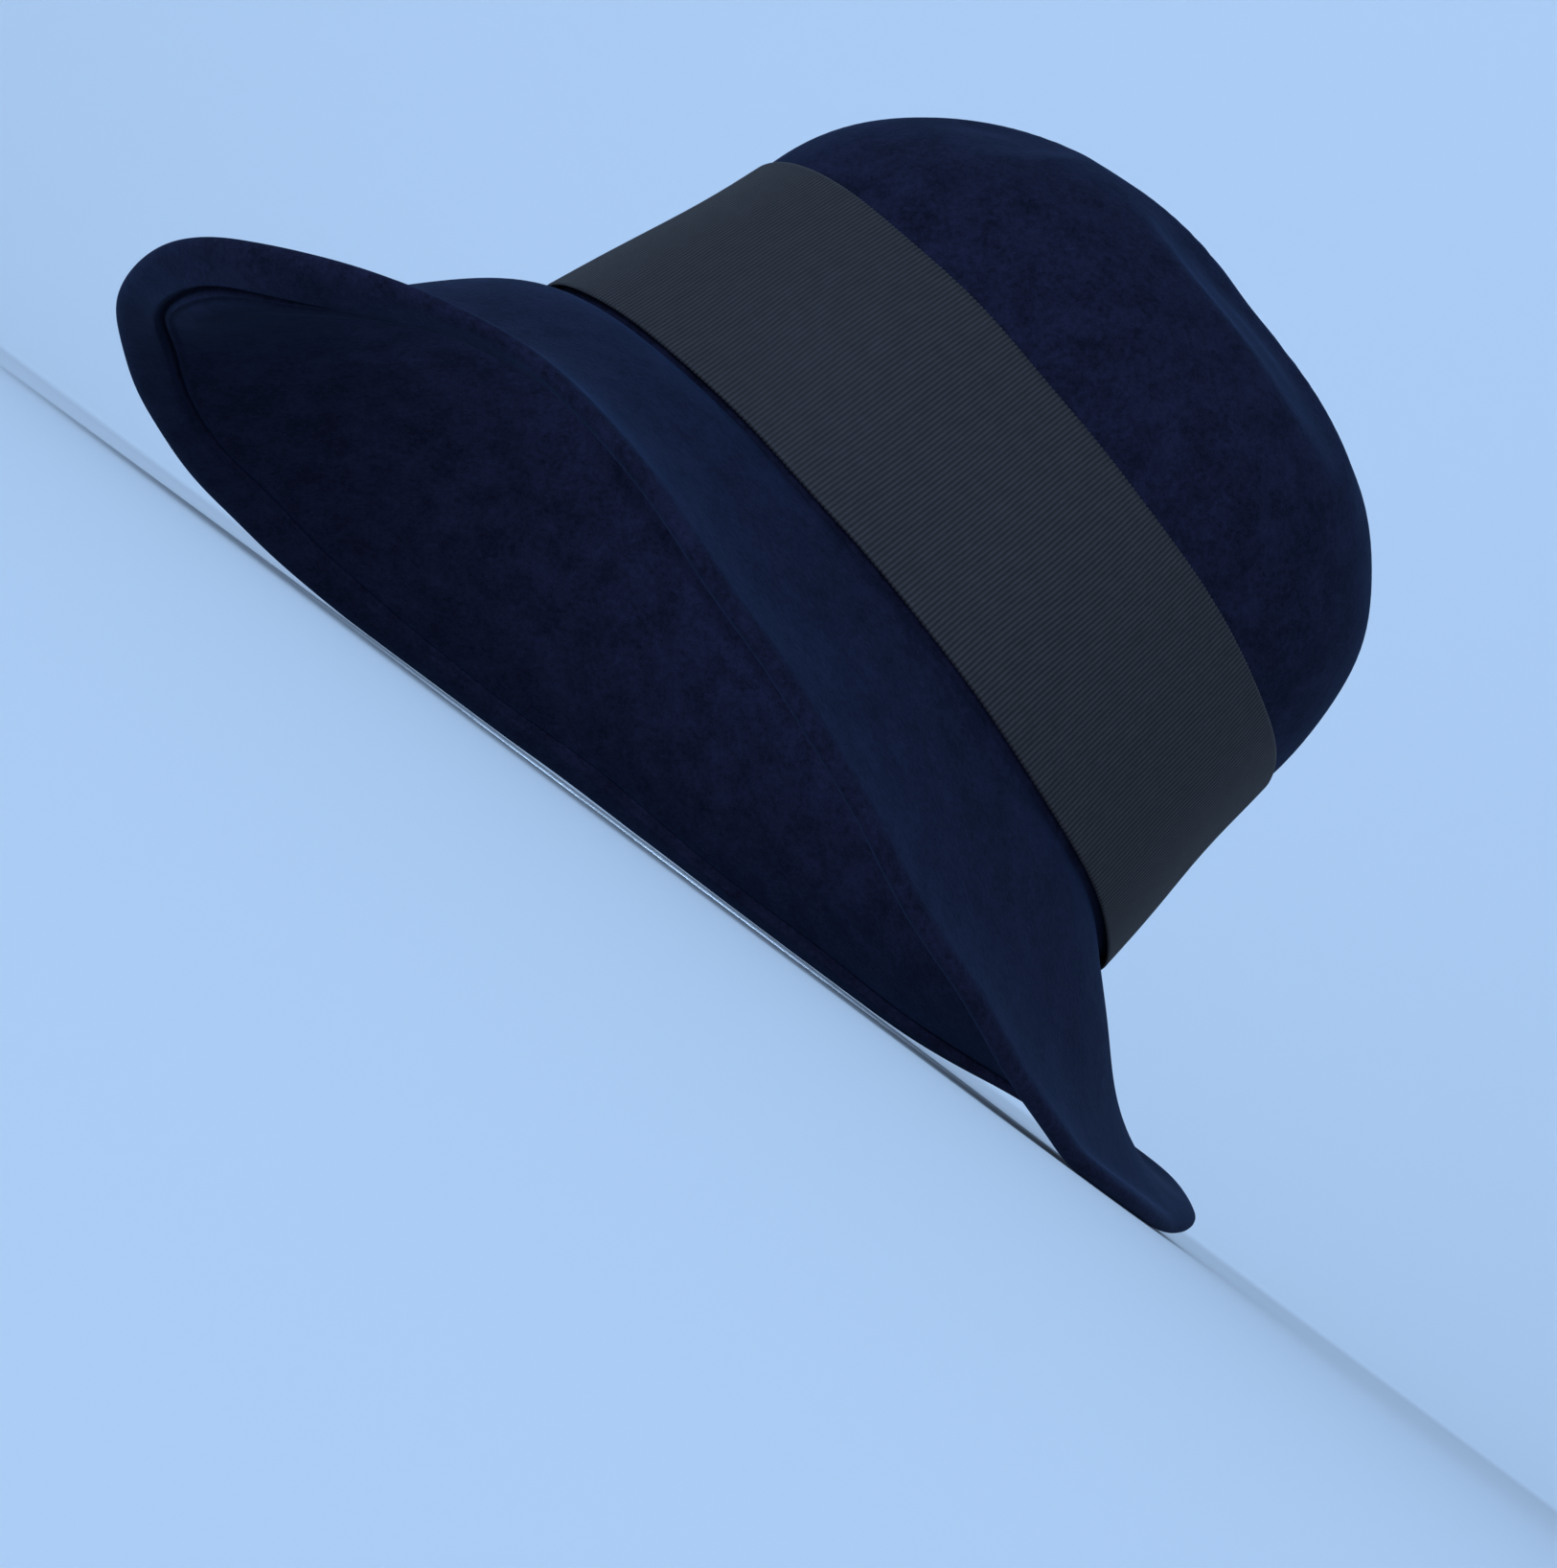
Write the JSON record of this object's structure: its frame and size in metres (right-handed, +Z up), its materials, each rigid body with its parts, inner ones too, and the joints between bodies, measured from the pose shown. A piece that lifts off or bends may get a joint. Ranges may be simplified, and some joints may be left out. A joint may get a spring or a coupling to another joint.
{
  "type": "soft felt brimmed hat",
  "caption": "Soft felt hat with a domed, lightly dented crown, a wide plain ribbon band and a drooping, turned-under brim; sits on a head or rests on its brim.",
  "frame": {"origin": "on the surface that the hat rests on, below the middle of its outline seen from above", "axes": "front of the hat towards -Y, wearer's left towards +X, +Z up; the crown leans back and to the wearer's right, as the hat rests on its uneven brim"},
  "size_m": [0.2722, 0.3224, 0.1877],
  "materials": {
    "felt_body": "matt brushed navy wool felt",
    "ribbon_band": "soft sheen ribbed dark olive-grey grosgrain"
  },
  "bodies": {
    "root": {"felt_body": "felt_body", "ribbon_band": "ribbon_band"}
  },
  "joints": []
}
